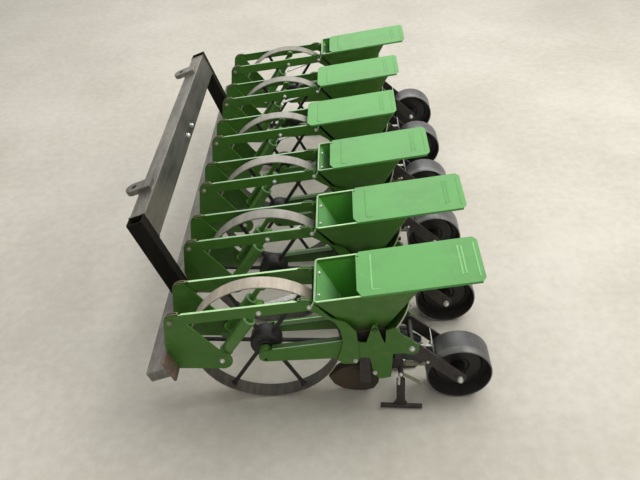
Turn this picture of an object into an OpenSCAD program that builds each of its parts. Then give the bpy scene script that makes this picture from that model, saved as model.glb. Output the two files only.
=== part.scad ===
// Six-row precision seed drill: a toolbar with a leaning hitch portal in front,
// and six trailing row units, each with a spoked front wheel, a hopper with a
// sliding lid, a furrow opener, covering blades and a steel press wheel.
// X runs to the rear, Y across the rows, Z up; the floor is at z = 0.

/* [Rows] */
// Distance between neighbouring rows
row_pitch = 380; // [360:5:450]
// How far each row's rails and hopper rise towards the rear, in degrees
row_tilt = 7.4; // [6.5:0.1:8]
// Height of the brackets' top bolts above the floor
bolt_z = 415; // [410:1:420]

/* [Toolbar and hitch] */
// Lean of the toolbar and the hitch portal, forward from upright, in degrees
lean = 19; // [15:1:22]
// Toolbar beyond the outermost bracket plates
toolbar_overhang = 55; // [20:5:150]
// Toolbar tube, along the lean's normal
tube_deep = 70; // [60:5:80]
// Toolbar tube, along the lean
tube_high = 40; // [36:1:50]
// Width of the flat bar behind the tube
bar_wide = 85; // [80:1:95]
// Thickness of the flat bar
bar_thick = 10; // [8:1:12]
// Outer width of the hitch portal
portal_wide = 1458; // [1440:1:1470]
// Reach of the portal above the brackets' chamfer, along the lean
portal_reach = 299; // [260:5:340]
// Arms of the portal, along the lean's normal
arm_deep = 60; // [50:2:64]
// Arms of the portal, across the rows
arm_wide = 50; // [40:2:60]
// Depth of the crossbar, along the lean
crossbar_deep = 105; // [80:5:120]
// Distance between the two hitch tongues
tongue_gap = 1000; // [825:5:1100]
// Hole in each hitch tongue, diameter
tongue_hole_d = 22; // [19:1:28]

/* [Wheels] */
// Diameter of the spoked front wheels
front_d = 500; // [490:2:506]
// Width of the front wheels' rim band
front_wide = 55; // [40:1:56]
// Spokes of a front wheel
spokes = 6; // [4:1:8]
// Diameter of the press wheels
press_d = 220; // [200:2:230]
// Width of the press wheels
press_wide = 102; // [80:2:104]

/* [Hopper] */
// Length of the hopper's top along the row
hopper_long = 314; // [290:2:316]
// Width of the hopper's top across the row
hopper_wide = 206; // [190:2:220]
// Depth of the hopper's funnel
hopper_deep = 200; // [180:5:202]
// Thickness of the hopper's sheet
hopper_wall = 3; // [2:0.5:4]
// Length of a lid
lid_long = 384; // [370:2:390]

/* [Hidden] */
$fn = 64;

rows = 6;
green = "#3f7a35";
lid_green = "#7fbf78";
bare_steel = "#8b877c";
dark_steel = "#33302c";
rusty = "#7a5a44";
zinc = "#b9bcbc";

// Stack across a row, from its middle plane outwards
arm_y = 58;
arm_thick = 8;
rail_y = arm_y + arm_thick;
rail_thick = 6;
upright_y = rail_y + rail_thick;
bracket_y = 74;
link_y = 80;
bracket_thick = link_y - bracket_y;
upright_thick = link_y - upright_y;
link_thick = 4;

// Places in a row's side view, from the top bolt's vertical line, heights from the bolt line
chamfer_top = [-35, -112];
chamfer_long = 101;
strut_foot = [140, -178];
strut_head = [282, 30.8];
link_rear = [439, 48];
front_axle_x = 282;
press_axle_x = 921;

front_r = front_d / 2;
press_r = press_d / 2;

// The machine's front and rear ends, which set the origin in the middle between them
tongue_long = 103;
tongue_wide = 60;
tongue_thick = 20;
portal_back = 14;
portal_front = portal_back - arm_deep;
tongue_tip = portal_back - 6 - tongue_long;
front_end = chamfer_top[0] + tongue_tip * cos(lean) - (portal_reach + tongue_thick) * sin(lean);
rear_end = press_axle_x + press_r;
x_mid = (front_end + rear_end) / 2;

function row_y(i) = (i - (rows - 1) / 2) * row_pitch;
function turned(p, a) = [p[0] * cos(a) - p[1] * sin(a), p[0] * sin(a) + p[1] * cos(a)];

// A point of a row's level side view as seen in the row's tilted frame
function in_row(p) = turned([p[0] - front_axle_x, p[1] + bolt_z - front_r], -row_tilt);

module machine() {
    translate([-x_mid, 0, 0]) children();
}

module each_row() {
    for (i = [0 : rows - 1]) translate([0, row_y(i), 0]) children();
}

// A row's level side view, its origin at the brackets' top bolt
module level_row() {
    translate([0, 0, bolt_z]) children();
}

// A row's tilted frame, its origin at the front wheel's axle
module tilted_row() {
    translate([front_axle_x, 0, front_r]) rotate([0, -row_tilt, 0]) children();
}

// The frame that leans with the toolbar: x to the rear and up, z up and forward
module leaned() {
    translate([chamfer_top[0], 0, bolt_z + chamfer_top[1]]) rotate([0, -lean, 0]) children();
}

// A side-view outline made into a plate from y to y + thick
module plate(y, thick) {
    translate([0, y + thick, 0]) rotate([90, 0, 0]) linear_extrude(thick) children();
}

// The same plate on both sides of a row, its inner face at y
module plate_pair(y, thick) {
    plate(y, thick) children();
    plate(-y - thick, thick) children();
}

// A round bar across a row, centred on its middle plane
module cross_bar(p, r, long) {
    translate([p[0], 0, p[1]]) rotate([90, 0, 0]) cylinder(h = long, r = r, center = true);
}

// A round bar along Y from y0 to y1
module y_bar(p, r, y0, y1) {
    translate([p[0], y0, p[1]]) rotate([-90, 0, 0]) cylinder(h = y1 - y0, r = r);
}

// A box from one corner to the other
module block(low, high) {
    translate(low) cube(high - low);
}

// A flat strip with round ends, in the side view
module strip(p, q, wide) {
    along = q - p;
    translate(p) rotate(atan2(along[1], along[0])) {
        translate([0, -wide / 2]) square([norm(along), wide]);
        circle(d = wide);
        translate([norm(along), 0]) circle(d = wide);
    }
}

module rounded_rect(low, high, r) {
    translate(low + [r, 0]) square([high[0] - low[0] - 2 * r, high[1] - low[1]]);
    translate(low + [0, r]) square([high[0] - low[0], high[1] - low[1] - 2 * r]);
    for (x = [low[0] + r, high[0] - r], y = [low[1] + r, high[1] - r])
        translate([x, y]) circle(r);
}

// Toolbar

tube_wall = 4;
tube_mid = -57;
toolbar_half = row_y(rows - 1) + link_y + toolbar_overhang;
bar_top = -15;

module toolbar_tube() {
    low = tube_mid - tube_high / 2;
    color(bare_steel) machine() leaned() difference() {
        block([-bar_thick - tube_deep, -toolbar_half, low], [-bar_thick, toolbar_half, low + tube_high]);
        block([-bar_thick - tube_deep + tube_wall, -toolbar_half + tube_wall, low + tube_wall],
              [-bar_thick - tube_wall, toolbar_half - tube_wall, low + tube_high - tube_wall]);
    }
}

module bar_solid() {
    block([-bar_thick, -toolbar_half, bar_top - bar_wide], [0, toolbar_half, bar_top]);
}

module toolbar_bar() {
    color(rusty) machine() leaned() bar_solid();
}

// Hitch portal

portal_wall = 4;
arm_foot = tube_mid + tube_high / 2;
arm_out = portal_wide / 2;
arm_in = arm_out - arm_wide;
tongue_hole_x = tongue_tip + tongue_wide / 2 + 3;

module hitch_arms() {
    color(bare_steel) machine() leaned() difference() {
        for (side = [0, 1]) mirror([0, side, 0]) difference() {
            block([portal_front, arm_in, arm_foot], [portal_back, arm_out, portal_reach]);
            block([portal_front + portal_wall, arm_in + portal_wall, arm_foot - 1],
                  [portal_back - portal_wall, arm_out - portal_wall, portal_reach + 1]);
        }
        bar_solid();
    }
}

module hitch_crossbar() {
    low = portal_reach - crossbar_deep;
    color(bare_steel) machine() leaned() difference() {
        block([portal_front, -arm_in, low], [portal_back, arm_in, portal_reach]);
        block([portal_front + portal_wall, -arm_in - 1, low + portal_wall],
              [portal_back - portal_wall, arm_in + 1, portal_reach - portal_wall]);
    }
}

module hitch_tongues() {
    tip_x = tongue_tip + tongue_wide / 2;
    color(bare_steel) machine() leaned() for (y = [-tongue_gap / 2, tongue_gap / 2])
        translate([0, y, portal_reach]) difference() {
            linear_extrude(tongue_thick) {
                translate([tip_x, -tongue_wide / 2])
                    square([tongue_tip + tongue_long - tip_x, tongue_wide]);
                translate([tip_x, 0]) circle(d = tongue_wide);
            }
            translate([tongue_hole_x, 0, -1]) cylinder(h = tongue_thick + 2, d = tongue_hole_d);
        }
}

// Row units: what carries them

bracket_round = 20;
strut_boss = 36;

module bracket_outline() {
    chamfer_low = chamfer_top + chamfer_long * [sin(lean), -cos(lean)];
    difference() {
        union() {
            polygon([
                chamfer_top, chamfer_low, strut_foot + [0, -strut_boss], strut_foot + [34, 12],
                strut_foot + [26, 25], strut_foot + [2, 42], [37, 3], [24, bracket_round],
                [0, bracket_round], [-bracket_round, 0]
            ]);
            circle(bracket_round);
            translate(strut_foot) circle(strut_boss);
        }
        // What a rounded foot would put past the chamfer
        translate(chamfer_top) rotate(-90 + lean) translate([-10, -60]) square([130, 60]);
    }
}

module bracket_plates() {
    color(green) machine() each_row() level_row()
        plate_pair(bracket_y, bracket_thick) bracket_outline();
}

link_long = norm(link_rear);
link_rise = atan2(link_rear[1], link_rear[0]);
link_low = -15;
link_high = 25;
flange_wide = 20;
flange_thick = 4;

module link_frame() {
    level_row() rotate([0, -link_rise, 0]) children();
}

module link_outline() {
    translate([0, link_low]) square([link_long, link_high - link_low]);
    translate([0, link_low]) square([link_long + 12, -link_low]);
    circle(bracket_round);
    translate([link_long, 0]) circle(16);
}

module upper_links() {
    color(green) machine() each_row() link_frame() {
        plate_pair(link_y, link_thick) link_outline();
        for (side = [0, 1]) mirror([0, side, 0])
            block([40, link_y + link_thick - flange_wide, link_high - flange_thick],
                  [link_long - 38, link_y + link_thick, link_high]);
    }
}

strut_d = 36;
strut_collar_d = 41;
strut_y = 53;
strut_eye_r = 15;
strut_rod_d = 18;
strut_low = 22;
strut_high = 186;
strut_collar_high = 10;

module strut() {
    along = strut_head - strut_foot;
    long = norm(along);
    translate([strut_foot[0], strut_y, strut_foot[1]])
        rotate([0, 90 - atan2(along[1], along[0]), 0]) {
            cylinder(h = long, d = strut_rod_d);
            translate([0, 0, strut_low]) cylinder(h = strut_high - strut_low, d = strut_d);
            for (z = [strut_low, strut_high - strut_collar_high])
                translate([0, 0, z]) cylinder(h = strut_collar_high, d = strut_collar_d);
        }
    y_bar(strut_foot, strut_eye_r, strut_y - 16, bracket_y);
    y_bar(strut_head, strut_eye_r, strut_y - 16, link_y);
}

module spring_struts() {
    color(green) machine() each_row() level_row()
        for (side = [0, 1]) mirror([0, side, 0]) strut();
}

module upright_outline() {
    polygon([
        link_rear + [-12, -11], [488, -4], [512, -22], [530, -58], [536, -95], [537, -112],
        [517, -188], [533, -206], [579, -208], [588, -188], [584, -112], [580, -66],
        [548, -24], [505, -6], [486, 16], [462, 46], link_rear + [8, 14]
    ]);
    translate(link_rear) circle(16);
}

module uprights() {
    color(green) machine() each_row() level_row()
        plate_pair(upright_y, upright_thick) upright_outline();
}

// Row units: rails and what stands between them

rail_top = 14;
rail_flange = 24;
rail_hole = [283, -187];
rail_pivot = in_row([757, -152]);
lug_bolt = [366, 52];
lug_in = 48.8;
rail_nose = [0, -8];

module rail_outline() {
    difference() {
        union() {
            polygon([
                [-8, rail_top], [302, rail_top], in_row([592, -121]), in_row([611, -122]),
                in_row([630, -53]), in_row([636, -45]), in_row([646, -54]), in_row([668, -124]),
                in_row([672, -120]), in_row([674, -71]), in_row([702, -61]), in_row([728, -96]),
                in_row([755, -114]), in_row([780, -154]), in_row([777, -174]), in_row([756, -180]),
                in_row([733, -174]), in_row([697, -176]), in_row([691, -282]), in_row([658, -290]),
                in_row([634, -270]), in_row([628, -225]), in_row([621, -189]), in_row([517, -188]),
                [0, -30]
            ]);
            translate(rail_nose) circle(22);
            translate(rail_pivot) circle(24);
        }
        circle(12);
        translate(in_row(rail_hole)) circle(6);
    }
}

module side_rails() {
    color(green) machine() each_row() tilted_row() plate_pair(rail_y, rail_thick) rail_outline();
}

// Round ties between the rails, and the narrow strip along each rail's top edge

front_tie = [288, -46];
rear_tie = [428, -18];
flange_x = [24, 292];

module cross_members() {
    color(green) machine() each_row() tilted_row() {
        cross_bar(front_tie, 12, 2 * rail_y);
        cross_bar(rear_tie, 14, 2 * rail_y);
        for (side = [0, 1]) mirror([0, side, 0])
            block([flange_x[0], rail_y - rail_flange, rail_top - flange_thick],
                  [flange_x[1], rail_y, rail_top]);
    }
}

axle_r = 12;
collar_y = 41;

module front_axles() {
    color(green) machine() each_row() tilted_row() {
        cross_bar([0, 0], axle_r, 2 * (rail_y + rail_thick));
        for (side = [0, 1]) mirror([0, side, 0]) y_bar([0, 0], 19, collar_y, rail_y);
    }
}

// Guard strip over the chain that drives the metering unit, on the row's right side

cover_low = [262, -63];
cover_high = [512, 24];
cover_y = 36;
cover_wide = 24;
guard_r = front_r + 12;
guard_thick = 3;
guard_from = 14;
guard_to = 52;

module chain_covers() {
    color(zinc) machine() each_row() level_row()
        plate(cover_y, cover_wide) intersection() {
            strip(cover_low, cover_high, 4);
            translate([front_axle_x, front_r - bolt_z]) circle(guard_r, $fn = 128);
        }
}

// A curved sheet between each front wheel and its hopper, which keeps soil off the seed

module sector(r, from, to) {
    polygon([[0, 0], 2 * r * [cos(from), sin(from)], 2 * r * [cos(to), sin(to)]]);
}

module wheel_guards() {
    color(dark_steel) machine() each_row() level_row() plate(-upright_y, 2 * upright_y)
        translate([front_axle_x, front_r - bolt_z]) intersection() {
            difference() {
                circle(guard_r + guard_thick, $fn = 128);
                circle(guard_r, $fn = 128);
            }
            sector(guard_r, guard_from, guard_to);
        }
}

housing_x = [302, 400];
housing_y = 42;
neck_z = 26;

module meter_housings() {
    drum = [351, -34];
    color(dark_steel) machine() each_row() tilted_row() {
        block([housing_x[0], -housing_y, -40], [housing_x[1], housing_y, neck_z]);
        cross_bar(drum, 49, 2 * housing_y);
        cross_bar(drum, 16, 2 * rail_y);
        block([chute[0][0], chute[0][1], chute_end], [chute[1][0], chute[1][1], -70]);
    }
}

opener_half = 16;
chute = [[334, -14], [372, 14]];
chute_end = -150;
sleeve_wall = 8;
shank_pin = [606, -300];
shank_wide = 36;

module opener_outline() {
    polygon([
        [482, -336], [500, -372], [532, -396], [566, -405], [606, -407], [636, -398],
        [652, -370], [656, -318], [650, -282], [566, -282], [520, -300]
    ]);
}

module furrow_openers() {
    color(rusty) machine() each_row() {
        level_row() difference() {
            plate(-opener_half, 2 * opener_half) opener_outline();
            cross_bar(shank_pin, arm_tie_r, 2 * arm_y);
        }
        tilted_row() difference() {
            block([chute[0][0] - sleeve_wall, chute[0][1] - sleeve_wall, chute_end - 24],
                  [chute[1][0] + sleeve_wall, chute[1][1] + sleeve_wall, chute_end + 60]);
            block([chute[0][0], chute[0][1], chute_end - 4], [chute[1][0], chute[1][1], chute_end + 61]);
        }
    }
}

// A curved sheet behind each hopper's funnel, between the rails

shield_r = 270;
shield_thick = 3;
shield_foot = [679.64910, -105.66526];
shield_head = [748.34229, 56.16575];
shield_chord = shield_head - shield_foot;
shield_back = sqrt(shield_r * shield_r - shield_chord * shield_chord / 4) / norm(shield_chord);
shield_centre = (shield_foot + shield_head) / 2 + shield_back * [-shield_chord[1], shield_chord[0]];
shield_from = atan2(shield_foot[1] - shield_centre[1], shield_foot[0] - shield_centre[0]);
shield_to = atan2(shield_head[1] - shield_centre[1], shield_head[0] - shield_centre[0]);

module rear_shields() {
    color(green) machine() each_row() level_row() plate(-rail_y, 2 * rail_y)
        translate(shield_centre) intersection() {
            difference() {
                circle(shield_r, $fn = 128);
                circle(shield_r - shield_thick, $fn = 128);
            }
            sector(shield_r, shield_from, shield_to);
        }
}

// Covering blades: a hanger on each rail, a shaft across and a blade on each side

blade_shaft = [721, -243];
hanger_top = [712, -160];
blade_y = 92;
blade_long = 140;
blade_high = 14;
blade_thick = 12;
hanger_wide = 26;
neck_foot = [722, -285];
neck_wide = 15;
stem_outline = [[708, -276], [736, -276], [737, -380], [746, -400], [698, -400], [709, -380]];
lever_end = [783, -289];

module covering_blades() {
    blade_low = 6 - bolt_z;
    color(dark_steel) machine() each_row() level_row() {
        plate_pair(arm_y, arm_thick) strip(hanger_top, blade_shaft, hanger_wide);
        for (side = [0, 1]) mirror([0, side, 0]) {
            y_bar(blade_shaft, 9, arm_y + arm_thick, blade_y + 6);
            plate(blade_y - 12, 12) strip(blade_shaft, neck_foot, neck_wide);
            plate(blade_y - 12, 12) polygon(stem_outline);
            plate(blade_y - 4, 8) strip(blade_shaft, lever_end, 9);
            translate([725, blade_y, blade_low]) rotate([0, 0, 4])
                translate([-blade_long / 2, -blade_thick / 2, 0])
                    cube([blade_long, blade_thick, blade_high]);
        }
    }
}

// Plates that carry the opener, and the arms of the press wheel

pivot = [757, -152];
press_axle = [press_axle_x, press_r - bolt_z];
arm_strip = 44;

module press_arms() {
    color(dark_steel) machine() each_row() level_row() {
        difference() {
            plate_pair(arm_y, arm_thick) strip(pivot, press_axle, arm_strip);
            cross_bar(press_axle, 10, 200);
        }
        plate_pair(arm_y, arm_thick) translate(shank_pin - [shank_wide / 2, 14])
            square([shank_wide, 142]);
    }
}

arm_tie_r = 9;

module press_axles() {
    color(zinc) machine() each_row() level_row() {
        cross_bar(press_axle, 10, 2 * (arm_y + arm_thick) + 16);
        cross_bar(pivot, arm_tie_r, 2 * arm_y);
        cross_bar(blade_shaft, arm_tie_r, 2 * arm_y);
        cross_bar(shank_pin, arm_tie_r, 2 * arm_y);
    }
}

// A thin blade on a rod that keeps the press wheel's drum clean

scraper_top = press_axle + [-97, 145];
scraper_foot = press_axle + [-86, 83];
scraper_root = press_axle + [-143, 133];
scraper_half = 28;
scraper_y = -40;

module wheel_scrapers() {
    reach = scraper_top[0] + 1 - scraper_root[0];
    color(zinc) machine() each_row() level_row() {
        plate(-scraper_half, 2 * scraper_half) strip(scraper_top, scraper_foot, 3);
        y_bar(scraper_root, 8, -arm_y, scraper_y + 5);
        translate([scraper_root[0], scraper_y, scraper_root[1]]) rotate([0, 90, 0])
            cylinder(h = reach, r = 5);
        plate(scraper_y - 4, scraper_half - 4 - scraper_y - scraper_half)
            strip(scraper_top + [-1, -4], scraper_top + [1, -18], 4);
    }
}

// Hoppers and lids, in the row's tilted frame

hopper_front = 206;
hopper_top = 226;
hopper_corner = 9;
outlet = [[300, -40], [402, 40]];
rim_drop = 12;
rim_out = 4;
lid_wide = hopper_wide + 2 * rim_out + 6;
lid_thick = 2.5;
lid_gap = 0.5;
lid_lip = 6;
lid_clip = [15, 30];
lid_corner = [12, 18];

// How far each lid is slid open, from the near row to the far one
lid_opening = [184, 182, 100, 0, 38, 94];
lid_closed_front = hopper_front - 55;

module hopper_shell(inset, extra) {
    low = hopper_top - hopper_deep;
    half = hopper_wide / 2 - inset;
    hull() {
        translate([0, 0, hopper_top - rim_drop]) linear_extrude(rim_drop + extra)
            rounded_rect([hopper_front + inset, -half],
                         [hopper_front + hopper_long - inset, half], hopper_corner - inset, $fn = 32);
        translate([0, 0, low - extra]) linear_extrude(1)
            rounded_rect(outlet[0] + [inset, inset], outlet[1] - [inset, inset], 8 - inset, $fn = 32);
    }
}

module hopper(i) {
    half = hopper_wide / 2;
    color(green) machine() translate([0, row_y(i - 1), 0]) tilted_row() {
        difference() {
            hopper_shell(0, 0);
            hopper_shell(hopper_wall, 1);
        }
        // Folded rim
        translate([0, 0, hopper_top - 6]) linear_extrude(6) difference() {
            rounded_rect([hopper_front - rim_out, -half - rim_out],
                         [hopper_front + hopper_long + rim_out, half + rim_out],
                         hopper_corner + rim_out);
            rounded_rect([hopper_front + 1, 1 - half],
                         [hopper_front + hopper_long - 1, half - 1], hopper_corner - 1);
        }
        for (side = [0, 1]) mirror([0, side, 0]) y_bar(lug_bolt, 9, lug_in, rail_y);
    }
}

module lid_sheet(i) {
    front = lid_closed_front + lid_opening[i - 1];
    half = lid_wide / 2;
    low = hopper_top + lid_gap;
    back = front + lid_long;
    outline = [
        [front, lid_clip[1] - half], [front + lid_clip[0], -half],
        [back - lid_corner[0], -half], [back, lid_corner[1] - half],
        [back, half - lid_corner[1]], [back - lid_corner[0], half],
        [front + lid_corner[0], half], [front, half - lid_corner[1]]
    ];
    translate([0, 0, low]) linear_extrude(lid_thick) difference() {
        polygon(outline);
        translate([front + 6, half - 24]) circle(3);
    }
    for (side = [0, 1]) mirror([0, side, 0])
        block([front + lid_clip[0], half - lid_thick, low - lid_lip],
              [back - lid_corner[0], half, low + 1]);
}

module lid(i) {
    color(lid_green) machine() translate([0, row_y(i - 1), 0]) tilted_row() lid_sheet(i);
}

// Wheels

spoke_phase = -3;
hub_r = 52;
spoke_r = 7;
hub_wide = 70;
bore_gap = 0.05;

module front_wheel(i) {
    band = 6;
    color(bare_steel) machine() translate([front_axle_x, row_y(i - 1), front_r]) rotate([90, 0, 0])
        difference() {
            union() {
                difference() {
                    cylinder(h = front_wide, r = front_r, center = true, $fn = 128);
                    cylinder(h = front_wide + 2, r = front_r - band, center = true, $fn = 128);
                }
                for (k = [0 : spokes - 1]) rotate(spoke_phase + k * 360 / spokes)
                    translate([hub_r - 6, 0, 0]) rotate([0, 90, 0])
                        cylinder(h = front_r - band - hub_r + 8, r = spoke_r);
                cylinder(h = hub_wide, r = hub_r, center = true);
            }
            cylinder(h = hub_wide + 2, r = axle_r + bore_gap, center = true);
        }
}

module press_wheel(i) {
    wall = 5;
    color(dark_steel) machine() translate([press_axle_x, row_y(i - 1), press_r]) rotate([90, 0, 0])
        difference() {
            cylinder(h = press_wide, r = press_r, center = true, $fn = 96);
            for (side = [-1, 1]) translate([0, 0, side * (press_wide / 2 + 3)]) difference() {
                cylinder(h = press_wide, r = press_r - wall, center = true, $fn = 96);
                cylinder(h = press_wide + 2, r = 24, center = true);
            }
            cylinder(h = press_wide + 2, r = 10 + bore_gap, center = true);
        }
}

toolbar_tube();
toolbar_bar();
hitch_arms();
hitch_crossbar();
hitch_tongues();
bracket_plates();
upper_links();
spring_struts();
uprights();
side_rails();
cross_members();
front_axles();
chain_covers();
meter_housings();
furrow_openers();
wheel_guards();
rear_shields();
covering_blades();
press_arms();
press_axles();
wheel_scrapers();
hopper(1);  // hopper_1
hopper(2);  // hopper_2
hopper(3);  // hopper_3
hopper(4);  // hopper_4
hopper(5);  // hopper_5
hopper(6);  // hopper_6
lid(1);  // lid_1
lid(2);  // lid_2
lid(3);  // lid_3
lid(4);  // lid_4
lid(5);  // lid_5
lid(6);  // lid_6
front_wheel(1);  // front_wheel_1
front_wheel(2);  // front_wheel_2
front_wheel(3);  // front_wheel_3
front_wheel(4);  // front_wheel_4
front_wheel(5);  // front_wheel_5
front_wheel(6);  // front_wheel_6
press_wheel(1);  // press_wheel_1
press_wheel(2);  // press_wheel_2
press_wheel(3);  // press_wheel_3
press_wheel(4);  // press_wheel_4
press_wheel(5);  // press_wheel_5
press_wheel(6);  // press_wheel_6
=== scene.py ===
# %% [markdown]
# # A six-row seed drill
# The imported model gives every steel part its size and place. This lesson
# dresses it: folded sheet, rounded plate edges, bolts, weld beads, creases in
# the lids, and paint, rust and bare steel that follow the real machine.

# %% Frame and tools
import math

import bmesh
import bpy
from mathutils import Matrix, Quaternion, Vector


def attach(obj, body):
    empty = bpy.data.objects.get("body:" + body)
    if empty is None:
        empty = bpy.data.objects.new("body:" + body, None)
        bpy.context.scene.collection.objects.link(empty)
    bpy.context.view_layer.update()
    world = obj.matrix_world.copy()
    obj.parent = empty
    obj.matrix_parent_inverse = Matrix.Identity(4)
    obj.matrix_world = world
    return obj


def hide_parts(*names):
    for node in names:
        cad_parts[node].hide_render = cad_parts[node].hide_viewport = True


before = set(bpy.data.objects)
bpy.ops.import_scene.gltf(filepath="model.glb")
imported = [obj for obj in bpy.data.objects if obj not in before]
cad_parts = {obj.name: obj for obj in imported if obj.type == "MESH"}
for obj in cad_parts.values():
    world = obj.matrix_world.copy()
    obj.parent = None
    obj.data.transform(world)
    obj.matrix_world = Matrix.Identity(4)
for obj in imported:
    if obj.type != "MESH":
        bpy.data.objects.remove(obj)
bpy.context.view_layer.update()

# %% [markdown]
# ## Where things are
# A row is measured in four frames. The level one starts at the bracket's top
# bolt, the tilted one at the front axle, the leaning one at the toolbar, and
# the last one follows the upper link. A matrix for each turns a measured place
# into the machine's own metres.

# %% Frames of a row
MID_X = 0.40116
BOLT_Z = 0.415
ROWS = 6
PITCH = 0.380
TILT = math.radians(7.4)
LEAN = math.radians(19)
FRONT_R, PRESS_R = 0.250, 0.110
FRONT_X, PRESS_X = 0.282, 0.921
ROW_Y = [(row - (ROWS - 1) / 2) * PITCH for row in range(ROWS)]


def place(x, z, turn=0.0):
    """A side-view frame: its origin at x from the bolt's line and height z."""
    return Matrix.Translation((x - MID_X, 0, z)) @ Matrix.Rotation(-turn, 4, "Y")


LEVEL = place(0, BOLT_Z)
TILTED = place(FRONT_X, FRONT_R, TILT)
LEANED = place(-0.035, BOLT_Z - 0.112, LEAN)
LINK_REAR = (0.439, 0.048)
LINK_LONG = math.hypot(*LINK_REAR)
LINKED = place(0, BOLT_Z, math.atan2(LINK_REAR[1], LINK_REAR[0]))


def in_row(row, side_frame):
    """The side-view frame moved to one row's middle plane."""
    return Matrix.Translation((0, ROW_Y[row], 0)) @ side_frame


def row_at(y):
    """The row whose middle plane is nearest to y."""
    return min(range(ROWS), key=lambda row: abs(y - ROW_Y[row]))


def facing(side):
    """Turns the local Z axis across the rows, towards the far side for 1 or the near side for -1."""
    return Matrix.Rotation(math.radians(-90 * side), 4, "X")


print("rows at y, metres:", [round(y, 2) for y in ROW_Y])

# %% [markdown]
# ## The camera
# The photograph was taken from the near side, high up. Bolts and wheels whose
# places are known fixed the camera's place and lens by least squares.

# %% Camera
def make_camera():
    data = bpy.data.cameras.new("camera")
    data.sensor_width = 36.0
    data.lens = 40.79
    data.clip_end = 60
    eye = bpy.data.objects.new("camera", data)
    across = Vector((0.99855, 0.01410, -0.05193))
    up = Vector((0.03328, 0.59667, 0.80179))
    back = Vector((0.04228, -0.80236, 0.59534))
    turn = Matrix((across, up, back)).transposed().to_4x4()
    eye.matrix_world = Matrix.Translation((0.1710, -2.6854, 1.9420)) @ turn
    bpy.context.scene.collection.objects.link(eye)
    bpy.context.scene.camera = eye
    print("camera at, metres:", [round(v, 2) for v in eye.matrix_world.translation])


make_camera()

# %% [markdown]
# ## Light, floor and view
# A wide lamp overhead and a pale surrounding give plain soft light. The bright
# far wall of the hall shows as a sheen on every top face, so flanges and lids
# turn pale while upright sheets stay in half shade.

# %% Light and view settings
def make_light():
    scene = bpy.context.scene
    scene.view_settings.view_transform = "Standard"
    lamps = (
        ("overhead", (0.3, 0.4, 4.2), (0.0, 0.0, 0.3), (3.4, 3.4), 52.0, (1.0, 0.985, 0.95)),
        ("rear_lamps", (3.0, 0.2, 3.7), (0.0, 0.0, 0.4), (3.0, 2.2), 125.0, (1.0, 0.985, 0.95)),
        ("far_window", (0.0, 5.2, 4.1), (0.0, 0.0, 0.4), (5.2, 3.4), 168.0, (1.0, 1.0, 0.98)),
        ("near_fill", (1.6, -4.4, 2.6), (0.2, 0.0, 0.3), (2.4, 2.4), 30.0, (1.0, 0.98, 0.95)),
        ("left_fill", (-4.0, -1.0, 3.0), (0.0, 0.0, 0.3), (2.0, 2.0), 22.0, (0.96, 0.98, 1.0)),
    )
    for name, spot, aim, size, power, colour in lamps:
        data = bpy.data.lights.new(name, "AREA")
        data.shape = "RECTANGLE"
        data.size, data.size_y = size
        data.energy = power
        data.color = colour
        lamp = bpy.data.objects.new(name, data)
        way = Vector(aim) - Vector(spot)
        lamp.matrix_world = Matrix.Translation(spot) @ way.to_track_quat("-Z", "Y").to_matrix().to_4x4()
        scene.collection.objects.link(lamp)
    print("lamps:", len(lamps))


make_light()

# %% [markdown]
# ## Materials as written sums
# A mask is easier to read as an expression than as a web of wires. This class
# wraps a number socket, and arithmetic on it adds the Math nodes.

# %% A socket that takes arithmetic
class Signal:
    """A number in a material's tree, on which plain arithmetic works."""

    def __init__(self, finish, socket):
        self.finish = finish
        self.socket = socket

    def math(self, operation, *others, first=None, clamp=False):
        values = [self if first is None else first, *others]
        sockets = dict(enumerate(values))
        return self.finish.add("ShaderNodeMath", 0, {"operation": operation, "use_clamp": clamp}, sockets)

    def __add__(self, other):
        return self.math("ADD", other)

    def __sub__(self, other):
        return self.math("SUBTRACT", other)

    def __rsub__(self, other):
        return self.math("SUBTRACT", self, first=other)

    def __mul__(self, other):
        return self.math("MULTIPLY", other)

    __radd__ = __add__
    __rmul__ = __mul__

    def ramp(self, low, high):
        """0 below low, 1 above high, and a smooth step between."""
        settings = {"interpolation_type": "SMOOTHSTEP"}
        sockets = {"Value": self, "From Min": low, "From Max": high}
        return self.finish.add("ShaderNodeMapRange", 0, settings, sockets)

    def limited(self):
        return self.math("ADD", 0.0, clamp=True)


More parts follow.
